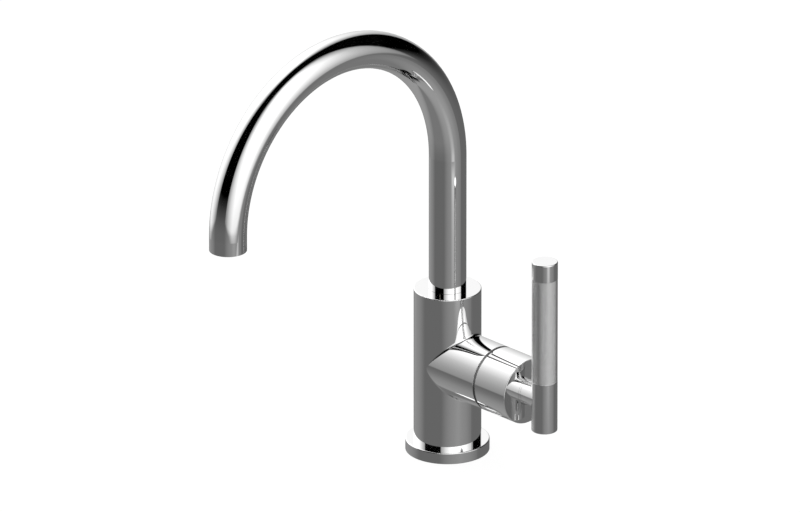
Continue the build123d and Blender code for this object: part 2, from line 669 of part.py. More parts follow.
def cartridge_housing():
    """Shell of the cartridge: shoulder for the nut, lip that holds the stem guide."""
    shape = rod_x(CARTRIDGE_R, HOUSING_X, SHOULDER_X)
    shape += rod_x(NECK_R, HOUSING_X, HOUSING_END_X)
    shape -= rod_x(CAVITY_R, HOUSING_X - PAST, LIP_X)
    return shape - rod_x(BOSS_R + SLIP, LIP_X - PAST, HOUSING_END_X + PAST)


def temperature_limit_ring():
    """Ring with a gap: the hub's lug runs in the gap and stops at its ends."""
    ring = ring_x(NECK_R, LIMIT_RING_BORE_R, LIMIT_RING_X, LIMIT_RING_END_X)
    return ring - limit_slice(LEVER_TURN + LUG_HALF_ANGLE + STOP_PLAY_ANGLE)


def cartridge_nut():
    """Ring nut in the branch's mouth that clamps the cartridge by its shoulder."""
    shape = rod_x(NUT_THREAD_R - CLOSE, SHOULDER_X, BRANCH_END_X - SLIP)
    shape += rod_x(BEARING_SEAT_R, SHOULDER_X, NUT_END_X)
    shape -= rod_x(NECK_R + SLIP, SHOULDER_X - PAST, NUT_END_X + PAST)
    notch = Box(2 * NUT_NOTCH_DEPTH, 2 * BRANCH_R, NUT_NOTCH)
    for turn in (0, 90):
        shape -= Pos(NUT_END_X, 0, BRANCH_Z) * Rot(turn, 0, 0) * notch
    return shape


def hub_bearing_ring():
    """Plastic ring on the nut that the hub turns on."""
    x0 = HUB_START_X + BEARING_RING_INSET
    return ring_x(HUB_BORE_R - RUNNING, BEARING_SEAT_R + PRESS, x0, x0 + BEARING_RING_WIDTH)


def hub_sleeve():
    """Rotating sleeve past the seam, with the arm's round seat and the pin's groove in its end wall."""
    outer = Cylinder(BRANCH_R, HUB_LENGTH, align=FROM_BASE)
    shape = along_x(round_bottom(round_top(outer, HUB_EDGE), HUB_SEAM_EDGE), HUB_START_X)
    shape -= rod_x(HUB_BORE_R, HUB_START_X - PAST, HUB_SHOULDER_X)
    shape -= rod_x(BOSS_R + PRESS, HUB_START_X - PAST, HUB_INNER_X)
    lug_bore_r = LIMIT_RING_BORE_R + LUG_INSET
    lug = ring_x(NECK_R - LUG_INSET, lug_bore_r, LIMIT_RING_X + FREE, HUB_SHOULDER_X + PAST)
    shape += lug & limit_slice(LUG_HALF_ANGLE)
    shape -= arm_ball(ARM_ROOT_R + ARM_SEAT_GAP)
    pin_half = PIVOT_PIN_LENGTH / 2 + SLIP
    shape -= rod_y(PIN_HOLE_R, -pin_half, pin_half, PIVOT_X, BRANCH_Z)
    groove = Box(PIVOT_X - HUB_INNER_X + PAST, 2 * pin_half, 2 * PIN_HOLE_R, align=FROM_BACK)
    shape -= Pos(HUB_INNER_X - PAST, 0, BRANCH_Z) * groove
    return shape - hub_screw_hole(BOSS_R - PAST)


def hub_grub_screw():
    """Fixes the hub to the stem guide from below."""
    bottom = HUB_SCREW_TOP_Z - HUB_SCREW_LENGTH
    screw = rod_z(HUB_SCREW_R, bottom, HUB_SCREW_TOP_Z, HUB_SCREW_X)
    return screw - Pos(HUB_SCREW_X, 0, bottom) * Rot(180, 0, 0) * hex_socket(HUB_KEY_SIZE)


def lever_arm():
    """Short round arm on a ball root: a sleeve over the stem, a saddle at the handle, a spigot in it."""
    shape = arm_ball(ARM_ROOT_R) & rod_x(ARM_DIA, PIVOT_X - ARM_BACK_LENGTH, HUB_END_X)
    shape += rod_x(ARM_DIA / 2, PIVOT_X, HANDLE_X)
    shape -= rod_z(HANDLE_DIA / 2 + PRESS, BRANCH_Z - ARM_DIA, BRANCH_Z + ARM_DIA, HANDLE_X)
    shape += rod_x(ARM_SPIGOT_DIA / 2, HANDLE_FACE_X - PAST, SPIGOT_END_X)
    shape += along_stem(rod_z(ARM_SLEEVE_DIA / 2, -ARM_SLEEVE_LENGTH, 0))
    shape -= along_stem(rod_z(STEM_DIA / 2 + PRESS, -ARM_SLEEVE_LENGTH - PAST, STEM_GRIP_LENGTH + FREE))
    return shape - pin_hole()


def handle_lower():
    """Smooth lower piece of the handle, bored for the arm, the rod and the grub screw."""
    shape = rod_z(HANDLE_DIA / 2, HANDLE_BOTTOM_Z, GRIP_Z, HANDLE_X)
    shape = round_bottom(round_top(shape, HANDLE_SEAM), HANDLE_EDGE)
    shape -= rod_x(ARM_SPIGOT_DIA / 2 + PRESS, HANDLE_FACE_X - PAST, SPIGOT_END_X + FREE)
    shape -= rod_z(CORE_ROD_DIA / 2 + PRESS, ROD_BOTTOM_Z - FREE, GRIP_Z + PAST, HANDLE_X)
    return shape - rod_z(HANDLE_SCREW_R + CLOSE, HANDLE_BOTTOM_Z - PAST, BRANCH_Z, HANDLE_X)


def handle_grub_screw():
    """Locks the arm's spigot from the handle's lower end."""
    top = BRANCH_Z - ARM_SPIGOT_DIA / 2 - PRESS
    bottom = top - HANDLE_SCREW_LENGTH
    screw = rod_z(HANDLE_SCREW_R, bottom, top, HANDLE_X)
    return screw - Pos(HANDLE_X, 0, bottom) * Rot(180, 0, 0) * hex_socket(KEY_SIZE)


def handle_core_rod():
    """Threaded rod that draws the cap, the grip and the lower piece together."""
    return rod_z(CORE_ROD_DIA / 2, ROD_BOTTOM_Z, ROD_TOP_Z, HANDLE_X)


def knurled_grip():
    """Sleeve that carries the knurling between its two plain neighbours."""
    shape = rod_z(GRIP_DIA / 2, GRIP_Z, CAP_Z, HANDLE_X)
    shape = round_bottom(round_top(shape, HANDLE_SEAM), HANDLE_SEAM)
    return shape - rod_z(CORE_ROD_DIA / 2 + SLIP, GRIP_Z - PAST, CAP_Z + PAST, HANDLE_X)


def handle_cap():
    """Plain top of the handle, screwed on the rod."""
    shape = rod_z(HANDLE_DIA / 2, CAP_Z, HANDLE_TOP_Z, HANDLE_X)
    shape = round_bottom(round_top(shape, HANDLE_EDGE), HANDLE_SEAM)
    return shape - rod_z(CORE_ROD_DIA / 2 + PRESS, CAP_Z - PAST, ROD_TOP_Z + FREE, HANDLE_X)


PIECES = (
    base_flange, base_seal, foot_ring, body,
    spout_tube, spout_tail, spout_o_rings, spout_guide_ring, spout_thrust_washer, spout_retaining_screw,
    aerator_sleeve, aerator_body, aerator_screen, aerator_seal,
    cartridge_base, port_seals, disc_seals, fixed_disc, moving_disc, disc_carrier, stem_guide,
    cartridge_housing, cartridge_nut, temperature_limit_ring,
    hub_bearing_ring, hub_sleeve, hub_grub_screw,
    stem, pivot_pin, lever_arm,
    handle_lower, handle_grub_screw, handle_core_rod, knurled_grip, handle_cap,
)


def solids_of(shape):
    """Every separate solid of a shape or of a list of shapes."""
    shapes = shape if isinstance(shape, (list, tuple)) else [shape]
    return [solid for item in shapes for solid in item.solids()]


os.makedirs("parts", exist_ok=True)
for make in PIECES:
    solids = solids_of(make())
    export_step(solids[0] if len(solids) == 1 else Compound(children=solids), f"parts/{make.__name__}.step")
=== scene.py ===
"""Looks of the basin mixer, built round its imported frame: plate, knurled grip, inner parts and studio."""
import math

import bmesh
import bpy
from bpy.props import FloatProperty, FloatVectorProperty, IntProperty, PointerProperty
from mathutils import Matrix, Vector


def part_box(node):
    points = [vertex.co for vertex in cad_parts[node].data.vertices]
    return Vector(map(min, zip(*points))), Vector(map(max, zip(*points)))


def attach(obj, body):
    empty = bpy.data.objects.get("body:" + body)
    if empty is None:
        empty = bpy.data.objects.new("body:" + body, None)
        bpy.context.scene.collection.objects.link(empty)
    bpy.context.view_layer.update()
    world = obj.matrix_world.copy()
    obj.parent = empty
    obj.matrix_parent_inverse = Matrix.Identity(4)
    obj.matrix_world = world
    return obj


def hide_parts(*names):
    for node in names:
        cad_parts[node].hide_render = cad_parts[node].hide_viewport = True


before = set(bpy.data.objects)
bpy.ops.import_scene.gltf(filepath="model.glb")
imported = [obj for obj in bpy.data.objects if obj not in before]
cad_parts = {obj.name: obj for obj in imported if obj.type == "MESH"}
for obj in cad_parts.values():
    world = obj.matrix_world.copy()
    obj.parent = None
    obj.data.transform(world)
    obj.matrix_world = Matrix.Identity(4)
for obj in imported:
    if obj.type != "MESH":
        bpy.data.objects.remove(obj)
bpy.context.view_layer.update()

bl_info = {
    "name": "Basin mixer looks",
    "version": (1, 0, 0),
    "blender": (4, 5, 0),
    "location": "View3D > Sidebar > Mixer",
    "description": "Finishes a single-lever basin mixer round its packed frame",
    "category": "Object",
}

MM = 0.001
WELD = 1e-6

# Nodes of the frame by finish
PLATED = ("base_flange", "body", "spout_tube", "hub_sleeve", "lever_arm", "handle_lower", "handle_cap")
RUBBER_NODES = ("base_seal", "foot_ring", "spout_o_rings", "aerator_seal", "port_seals", "disc_seals")
WHITE_NODES = ("spout_guide_ring", "spout_thrust_washer", "hub_bearing_ring", "cartridge_base",
               "cartridge_housing", "disc_carrier", "stem_guide")
GREY_NODES = ("aerator_body",)
RED_NODES = ("temperature_limit_ring",)
CERAMIC_NODES = ("fixed_disc", "moving_disc")

# Turned nodes with the axis that they were turned about, and the turn that lays it on Z
BRASS_NODES = {"spout_tail": "Z", "aerator_sleeve": "Z", "cartridge_nut": "X"}
STEEL_NODES = {"stem": "X", "pivot_pin": "Y", "handle_core_rod": "Z", "hub_grub_screw": "Z",
               "handle_grub_screw": "Z", "spout_retaining_screw": "Y"}
LAY_ON_Z = {"X": (0.0, -math.pi / 2, 0.0), "Y": (math.pi / 2, 0.0, 0.0), "Z": (0.0, 0.0, 0.0)}
BRASS_ROUGHNESS = 0.24
STEEL_ROUGHNESS = 0.20
LATHE_FEED = 0.25 * MM
LATHE_DEPTH = 0.006 * MM
LATHE_SHADE = 0.88
LATHE_SMEAR = 0.10
LATHE_TONE = 0.05

# Moulded nodes with their slot, which colour they take, roughness, grain size, grain depth and dark share
MOULDED = (
    (RUBBER_NODES, "rubber", "rubber", 0.52, 0.35 * MM, 0.02 * MM, 0.75),
    (WHITE_NODES, "white_plastic", "white", 0.34, 0.30 * MM, 0.006 * MM, 0.95),
    (GREY_NODES, "grey_plastic", "grey", 0.40, 0.30 * MM, 0.010 * MM, 0.92),
    (RED_NODES, "red_plastic", "red", 0.36, 0.30 * MM, 0.006 * MM, 0.90),
    (CERAMIC_NODES, "ceramic", "ceramic", 0.12, 0.10 * MM, 0.001 * MM, 0.98),
)
MOTTLE_SCALE = 140.0
MOTTLE_ROUGHNESS = 0.08

# Marks of use: the stretch of a wipe smear, and the size of a drop's ring as shares of the drop
SMEAR_STRETCH = (34.0, 34.0, 9.0)
DROP_RING_PLACE = 0.16
DROP_RING_WIDTH = 0.035
DROPS_LEFT_OUT = 0.86
DROP_SHADE = 0.975
RIPPLE_SCALE = 60.0

# How deep under the rim the seam's painted shade and dull plate start and are whole, and how far they run
# past the seam
SEAM_START = 0.1 * MM
SEAM_FULL = 0.35 * MM
SEAM_PAST = 0.05 * MM
SEAM_ROUGHNESS = 0.25

# Woven screen: points along a wire and sides of its section, then the same for the rim
WIRE_POINTS = 121
WIRE_SIDES = 6
RIM_POINTS = 96
RIM_SIDES = 10

# Studio that metal mirrors. Across and height are slopes from the softboxes' heading, and depth is the sine
# below the horizon. A softbox's side, top and foot hold where its soft edge starts and ends. In the longer
# lists each pair holds a place and the light there.
SOFTBOX_SIDE = (1.565, 1.846)
SOFTBOX_TOP = (1.65, 4.74)
SOFTBOX_FOOT = (-0.443, -0.324)
SOFTBOX_SPREAD = ((0.3, 1.636), (0.6, 1.251), (0.9, 0.945), (1.2, 0.623), (1.6, 0.396))
SOFTBOX_RISE = ((-0.4, 0.528), (-0.15, 0.659), (0.3, 0.853), (0.8, 1.0), (1.6, 0.825), (2.6, 0.663))
FLOOR_TONES = ((-0.10, 0.0), (0.0, 0.022), (0.035, 0.0375), (0.07, 0.050), (0.12, 0.0685),
               (0.18, 0.0946), (0.28, 0.123), (0.40, 0.138), (0.60, 0.187), (0.90, 0.188))
FLOOR_LIT = 0.133
FLOOR_LIT_REACH = 1.84
HORIZON_EDGE = 0.01

# Floor: its matt tone and the light that makes it white for the camera, and the streak on it
FLOOR_REACH = 12.0
FLOOR_MATT = 0.14
FLOOR_WHITE = 0.9
STREAK_FROM = 0.15
STREAK_TO = 0.55
STREAK_HALF_WIDTH = 0.2
STREAK_LIFT = 0.5 * MM
STREAK_EDGE = (0.03, 0.29)
STREAK_LENGTH = ((0.20, 0.0), (0.28, 0.05), (0.33, 0.08), (0.376, 0.11), (0.43, 0.17), (0.465, 0.25),
                 (0.485, 0.31), (0.498, 0.17), (0.512, 0.0))

SENSOR_WIDTH = 36.0
CLIP = (0.1, 100.0)


def feed(tree, socket, value):
    """Links an output to a socket, or sets the socket to a plain value."""
    if isinstance(value, bpy.types.NodeSocket):
        tree.links.new(value, socket)
    else:
        socket.default_value = value


def add_node(tree, kind, inputs=None, **settings):
    """A node with its settings made and its inputs fed by name or place."""
    made = tree.nodes.new(kind)
    for name, value in settings.items():
        setattr(made, name, value)
    for key, value in (inputs or {}).items():
        feed(tree, made.inputs[key], value)
    return made


def calc(tree, operation, *values):
    """The result of a Math node on numbers or outputs."""
    return add_node(tree, "ShaderNodeMath", dict(enumerate(values)), operation=operation).outputs[0]


def total(tree, first, *others):
    """The sum of numbers or outputs."""
    for other in others:
        first = calc(tree, "ADD", first, other)
    return first


def product(tree, first, *others):
    """The product of numbers or outputs."""
    for other in others:
        first = calc(tree, "MULTIPLY", first, other)
    return first


def parts_of(tree, vector):
    """The X, Y and Z of a vector."""
    return add_node(tree, "ShaderNodeSeparateXYZ", {"Vector": vector}).outputs


def vector_of(tree, **parts):
    """A vector from its X, Y and Z, where a part left out is 0."""
    return add_node(tree, "ShaderNodeCombineXYZ", parts).outputs["Vector"]


def length_of(tree, vector):
    """The length of a vector."""
    return add_node(tree, "ShaderNodeVectorMath", {0: vector}, operation="LENGTH").outputs["Value"]


def ease(tree, value, start, end, low, high, smooth=True):
    """Goes from low to high as value goes from start to end, and stays level outside."""
    kind = "SMOOTHSTEP" if smooth else "LINEAR"
    inputs = {"Value": value, "From Min": start, "From Max": end, "To Min": low, "To Max": high}
    return add_node(tree, "ShaderNodeMapRange", inputs, interpolation_type=kind).outputs["Result"]


def follow(tree, value, points):
    """Straight runs through (input, output) points, level past both ends."""
    first, last = points[0][0], points[-1][0]
    peak = max(output for _, output in points)
    place = ease(tree, value, first, last, 0.0, 1.0, smooth=False)
    ramp = add_node(tree, "ShaderNodeValToRGB", {"Fac": place})
    elements = ramp.color_ramp.elements
    while len(elements) < len(points):
        elements.new(0.5)
    for element, (start, output) in zip(elements, points):
        element.position = (start - first) / (last - first)
        tone = output / peak
        element.color = (tone, tone, tone, 1.0)
    return calc(tree, "MULTIPLY", ramp.outputs["Color"], peak)


def noise(tree, vector, scale, detail=2.0):
    """Soft noise from 0 to 1 on a vector."""
    inputs = {"Vector": vector, "Scale": scale, "Detail": detail}
    return add_node(tree, "ShaderNodeTexNoise", inputs, noise_dimensions="3D").outputs["Fac"]


def blank_material(name):
    """A node material with nothing in it yet, and its tree."""
    material = bpy.data.materials.new(name)
    material.use_nodes = True
    material.node_tree.nodes.clear()
    return material, material.node_tree


def new_material(name):
    """A node material with its Principled BSDF, and the object coordinates."""
    material, tree = blank_material(name)
    shader = add_node(tree, "ShaderNodeBsdfPrincipled")
    add_node(tree, "ShaderNodeOutputMaterial", {"Surface": shader.outputs["BSDF"]})
    place = add_node(tree, "ShaderNodeTexCoord").outputs["Object"]
    return material, tree, shader, place


def linked(name, data):
    """A new object in the scene."""
    made = bpy.data.objects.new(name, data)
    bpy.context.scene.collection.objects.link(made)
    return made


def paint(nodes, material):
    """Gives frame nodes a material in place of their own."""
    for name in nodes:
        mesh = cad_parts[name].data
        mesh.materials.clear()
        mesh.materials.append(material)


def bump(tree, shader, height, distance):
    """Tilts the shading by a height that is 0 to 1 over a real distance."""
    node = add_node(tree, "ShaderNodeBump", {"Height": height, "Distance": distance, "Strength": 1.0})
    tree.links.new(node.outputs["Normal"], shader.inputs["Normal"])


def blend_colour(tree, mask, low, high):
    """Mixes two colours, or outputs that hold colours, by a mask."""
    mix = add_node(tree, "ShaderNodeMix", data_type="RGBA")
    feed(tree, mix.inputs["Factor"], mask)
    for place, colour in ((6, low), (7, high)):
        plain = not isinstance(colour, bpy.types.NodeSocket)
        feed(tree, mix.inputs[place], (*colour, 1.0) if plain else colour)
    return mix.outputs[2]


def shaded(colour, share):
    """A colour made darker or lighter by a share."""
    return tuple(channel * share for channel in colour)


def effect_group(name, size_name, outputs):
    """An empty shader node group for a vector and one size, and its two end nodes."""
    tree = bpy.data.node_groups.new(name, "ShaderNodeTree")
    tree.interface.new_socket("Vector", in_out="INPUT", socket_type="NodeSocketVector")
    tree.interface.new_socket(size_name, in_out="INPUT", socket_type="NodeSocketFloat")
    for label in outputs:
        tree.interface.new_socket(label, in_out="OUTPUT", socket_type="NodeSocketFloat")
    return tree, add_node(tree, "NodeGroupInput"), add_node(tree, "NodeGroupOutput")


def use_group(tree, group, inputs):
    """A shared effect placed in a material with its own values."""
    node = tree.nodes.new("ShaderNodeGroup")
    node.node_tree = group
    for name, value in inputs.items():
        feed(tree, node.inputs[name], value)
    return node.outputs


def handling_group():
    """Marks of use on metal: broad wipe smears, small dried drops and a slow ripple of the plate."""
    if "handling" in bpy.data.node_groups:
        return bpy.data.node_groups["handling"]
    tree, start, end = effect_group("handling", "Drop size", ("Smear", "Drops", "Ripple"))
    place = start.outputs["Vector"]
    stretched = add_node(tree, "ShaderNodeMapping", {"Vector": place, "Scale": SMEAR_STRETCH})
    streaks = noise(tree, stretched.outputs["Vector"], 1.0, 4.0)
    feed(tree, end.inputs["Smear"], ease(tree, streaks, 0.42, 0.72, 0.0, 1.0))
    drops = calc(tree, "DIVIDE", 1.0, start.outputs["Drop size"])
    cells = add_node(tree, "ShaderNodeTexVoronoi", {"Vector": place, "Randomness": 1.0, "Scale": drops})
    rim = calc(tree, "ABSOLUTE", calc(tree, "SUBTRACT", cells.outputs["Distance"], DROP_RING_PLACE))
    ring = ease(tree, rim, 0.0, DROP_RING_WIDTH, 1.0, 0.0)
    chosen = add_node(tree, "ShaderNodeSeparateColor", {"Color": cells.outputs["Color"]}).outputs[0]
    feed(tree, end.inputs["Drops"], product(tree, ring, calc(tree, "GREATER_THAN", chosen, DROPS_LEFT_OUT)))
    feed(tree, end.inputs["Ripple"], noise(tree, place, RIPPLE_SCALE, 1.0))
    return tree


def turning_group():
    """Fine rings left by a lathe, round the Z axis of the vector that comes in."""
    if "turning" in bpy.data.node_groups:
        return bpy.data.node_groups["turning"]
    tree, start, end = effect_group("turning", "Feed", ("Height", "Tone"))
    split = parts_of(tree, start.outputs["Vector"])
    radius = length_of(tree, vector_of(tree, X=split["X"], Y=split["Y"]))
    travel = calc(tree, "DIVIDE", total(tree, radius, split["Z"]), start.outputs["Feed"])
    groove = calc(tree, "ABSOLUTE", calc(tree, "SINE", product(tree, travel, math.pi)))
    feed(tree, end.inputs["Height"], groove)
    inputs = {"W": travel, "Scale": 0.31, "Detail": 3.0}
    bands = add_node(tree, "ShaderNodeTexNoise", inputs, noise_dimensions="1D")
    feed(tree, end.inputs["Tone"], ease(tree, bands.outputs["Fac"], 0.3, 0.7, 0.0, 1.0))
    return tree


def moulding_group():
    """Surface of moulded plastic and rubber: fine grain and a slow flow mottle."""
    if "moulding" in bpy.data.node_groups:
        return bpy.data.node_groups["moulding"]
    tree, start, end = effect_group("moulding", "Grain size", ("Grain", "Mottle"))
    place = start.outputs["Vector"]
    grains = calc(tree, "DIVIDE", 1.0, start.outputs["Grain size"])
    feed(tree, end.inputs["Grain"], noise(tree, place, grains))
    feed(tree, end.inputs["Mottle"], ease(tree, noise(tree, place, MOTTLE_SCALE, 3.0), 0.3, 0.7, 0.0, 1.0))
    return tree


class MixerPlate(bpy.types.PropertyGroup):
    """Chrome plate of the outer pieces."""
    colour: FloatVectorProperty(
        name="Plate colour", description="Colour of the polished plate", subtype="COLOR", size=3,
        min=0.0, max=1.0, default=(0.93, 0.93, 0.93))
    roughness: FloatProperty(
        name="Plate roughness", description="Roughness of clean polished plate", default=0.025, min=0.0,
        max=1.0)
    smear_roughness: FloatProperty(
        name="Smear roughness", description="Roughness that a wipe smear adds", default=0.035, min=0.0,
        max=1.0)
    ripple: FloatProperty(
        name="Plate ripple", description="Height of the slow ripple in the plate", subtype="DISTANCE",
        unit="LENGTH", default=0.002 * MM, min=0.0)
    seam_width: FloatProperty(
        name="Seam width", description="Width of the groove between the branch and the hub",
        subtype="DISTANCE", unit="LENGTH", default=2.1 * MM, min=0.0)
    # painted shade: this colour darkens the groove where shade falls; the groove's dull plate is only its
    # roughness
    seam_shade_colour: FloatVectorProperty(
        name="Seam colour", description="Colour of the thin dull plate down in the groove", subtype="COLOR",
        size=3, min=0.0, max=1.0, default=(0.42, 0.42, 0.42))


class MixerKnurling(bpy.types.PropertyGroup):
    """Diamond knurling of the grip."""
    teeth: IntProperty(name="Teeth round", description="Diamonds in one turn", default=60, min=8, max=90)
    rows: IntProperty(name="Rows", description="Diamonds along the grip", default=46, min=4, max=80)
    tooth_depth: FloatProperty(
        name="Tooth depth", description="Height of a diamond above its grooves", subtype="DISTANCE",
        unit="LENGTH", default=0.085 * MM, min=0.0)
    land: FloatProperty(
        name="Land share", description="Width of a diamond's flat top as a share of the diamond",
        subtype="FACTOR", default=0.3, min=0.0, max=0.95)
    bore_slip: FloatProperty(
        name="Bore slip", description="Room between the sleeve's bore and the core rod", subtype="DISTANCE",
        unit="LENGTH", default=0.05 * MM, min=0.0)
    crest_colour: FloatVectorProperty(
        name="Crest colour", description="Colour of the bright tops of the diamonds", subtype="COLOR",
        size=3, min=0.0, max=1.0, default=(0.93, 0.93, 0.93))
    # painted shade: the grooves' colour is darker where shade falls between the diamonds
    groove_shade_colour: FloatVectorProperty(
        name="Groove colour", description="Colour of the duller grooves", subtype="COLOR", size=3,
        min=0.0, max=1.0, default=(0.80, 0.80, 0.80))
    roughness: FloatProperty(
        name="Knurl roughness", description="Roughness of the plate on the diamonds", default=0.16, min=0.0,
        max=1.0)
    groove_roughness: FloatProperty(
        name="Groove roughness", description="Roughness that the grooves add", default=0.10, min=0.0,
        max=1.0)
    smear_roughness: FloatProperty(
        name="Smear roughness", description="Roughness that a wipe smear adds", default=0.05, min=0.0,
        max=1.0)


class MixerInner(bpy.types.PropertyGroup):
    """Colours of the pieces inside and underneath."""
    brass: FloatVectorProperty(
        name="Brass", description="Unplated turned brass", subtype="COLOR", size=3, min=0.0, max=1.0,
        default=(0.78, 0.62, 0.34))
    steel: FloatVectorProperty(
        name="Steel", description="Turned stainless steel", subtype="COLOR", size=3, min=0.0, max=1.0,
        default=(0.62, 0.62, 0.63))
    rubber: FloatVectorProperty(
        name="Rubber", description="Black rubber of the seals", subtype="COLOR", size=3, min=0.0, max=1.0,
        default=(0.05, 0.05, 0.05))
    white: FloatVectorProperty(
        name="White plastic", description="Cartridge and bearing pieces", subtype="COLOR", size=3, min=0.0,
        max=1.0, default=(0.86, 0.86, 0.84))
    grey: FloatVectorProperty(
        name="Grey plastic", description="Aerator insert", subtype="COLOR", size=3, min=0.0, max=1.0,
        default=(0.42, 0.43, 0.44))
    red: FloatVectorProperty(
        name="Red plastic", description="Temperature limit ring", subtype="COLOR", size=3, min=0.0, max=1.0,
        default=(0.62, 0.07, 0.05))
    ceramic: FloatVectorProperty(
        name="Ceramic", description="Lapped discs", subtype="COLOR", size=3, min=0.0, max=1.0,
        default=(0.90, 0.89, 0.86))


class MixerScreen(bpy.types.PropertyGroup):
    """Woven wire screen in the outlet."""
    wires: IntProperty(name="Wires", description="Wires in each direction", default=19, min=5, max=41)
    wire_radius: FloatProperty(
        name="Wire radius", description="Radius of one wire", subtype="DISTANCE", unit="LENGTH",
        default=0.1 * MM, min=0.0)
    sway: FloatProperty(
        name="Sway", description="How far a wire rises and falls from the middle of the cloth",
        subtype="DISTANCE", unit="LENGTH", default=0.11 * MM, min=0.0)


class MixerStudio(bpy.types.PropertyGroup):
    """Camera and studio round the mixer."""
    camera_azimuth: FloatProperty(
        name="Camera azimuth", description="Turn of the view about the vertical, from looking along +Y",
        subtype="ANGLE", unit="ROTATION", default=math.radians(46.12))
    camera_elevation: FloatProperty(
        name="Camera elevation", description="Height of the view above the horizon", subtype="ANGLE",
        unit="ROTATION", default=math.radians(22.93))
    camera_distance: FloatProperty(
        name="Camera distance", description="Distance of the long lens from the mixer", subtype="DISTANCE",
        unit="LENGTH", default=15.5)
    view_width: FloatProperty(
        name="View width", description="Width of the picture at the mixer", subtype="DISTANCE",
        unit="LENGTH", default=0.5312)
    view_centre: FloatVectorProperty(
        name="View centre", description="Point at the middle of the picture", subtype="TRANSLATION",
        unit="LENGTH", size=3, default=(-0.0574, 0.0115, 0.1172))
    softbox_heading: FloatProperty(
        name="Softbox heading",
        description="Heading of the first softbox, from +Y towards +X; the other is opposite",
        subtype="ANGLE", unit="ROTATION", default=math.radians(97.03))
    glow_heading: FloatProperty(
        name="Glow heading", description="Heading of the light streak on the floor, from +Y towards +X",
        subtype="ANGLE", unit="ROTATION", default=math.radians(100.5))


def seam_mask(tree, place, start, end, axis_z, rim):
    """1 down in the groove between branch and hub: under the rim, and from start to end along X."""
    split = parts_of(tree, place)
    height = calc(tree, "SUBTRACT", split["Z"], axis_z)
    squares = total(tree, product(tree, split["Y"], split["Y"]), product(tree, height, height))
    radius = calc(tree, "SQRT", squares)
    under = ease(tree, radius, rim - SEAM_FULL, rim - SEAM_START, 1.0, 0.0)
    after = calc(tree, "GREATER_THAN", split["X"], start - SEAM_PAST)
    before = calc(tree, "LESS_THAN", split["X"], end + SEAM_PAST)
    return product(tree, under, after, before)


class MIXER_OT_chrome(bpy.types.Operator):
    """Gives the outer brass pieces their polished chrome plate"""
    bl_idname = "mixer.chrome"
    bl_label = "Chrome plate"

    def execute(self, context):
        plate = context.scene.mixer_plate
        material, tree, shader, place = new_material("chrome_plate")
        marks = use_group(tree, handling_group(), {"Vector": place, "Drop size": 16.0 * MM})
        clean = blend_colour(tree, marks["Drops"], plate.colour, shaded(plate.colour, DROP_SHADE))
        low, high = (Vector(corner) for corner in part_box("hub_sleeve"))
        axis_z, rim = (low.z + high.z) / 2, (high.z - low.z) / 2
        seam = seam_mask(tree, place, low.x - plate.seam_width, low.x, axis_z, rim)
        # painted shade darkens the groove's colour, and the groove's dull plate adds roughness
        feed(tree, shader.inputs["Base Color"], blend_colour(tree, seam, clean, plate.seam_shade_colour))
        smeared = product(tree, marks["Smear"], plate.smear_roughness)
        dulled = product(tree, seam, SEAM_ROUGHNESS)
        feed(tree, shader.inputs["Roughness"], total(tree, smeared, dulled, plate.roughness))
        shader.inputs["Metallic"].default_value = 1.0
        bump(tree, shader, marks["Ripple"], plate.ripple)
        paint(PLATED, material)
        return {"FINISHED"}


def growing_tree(name, sizes):
    """An empty geometry nodes tree with named sizes and a material, and the outputs of its input node."""
    tree = bpy.data.node_groups.new(name, "GeometryNodeTree")
    for label, kind in (*sizes.items(), ("Finish", "NodeSocketMaterial")):
        tree.interface.new_socket(label, in_out="INPUT", socket_type=kind)
    tree.interface.new_socket("Geometry", in_out="OUTPUT", socket_type="NodeSocketGeometry")
    return tree, add_node(tree, "NodeGroupInput").outputs


def end_tree(tree, geometry, finish):
    """Ends a geometry nodes tree with real geometry in its material."""
    real = add_node(tree, "GeometryNodeRealizeInstances", {"Geometry": geometry})
    finished = add_node(tree, "GeometryNodeSetMaterial",
                        {"Geometry": real.outputs["Geometry"], "Material": finish})
    add_node(tree, "NodeGroupOutput", {"Geometry": finished.outputs["Geometry"]})


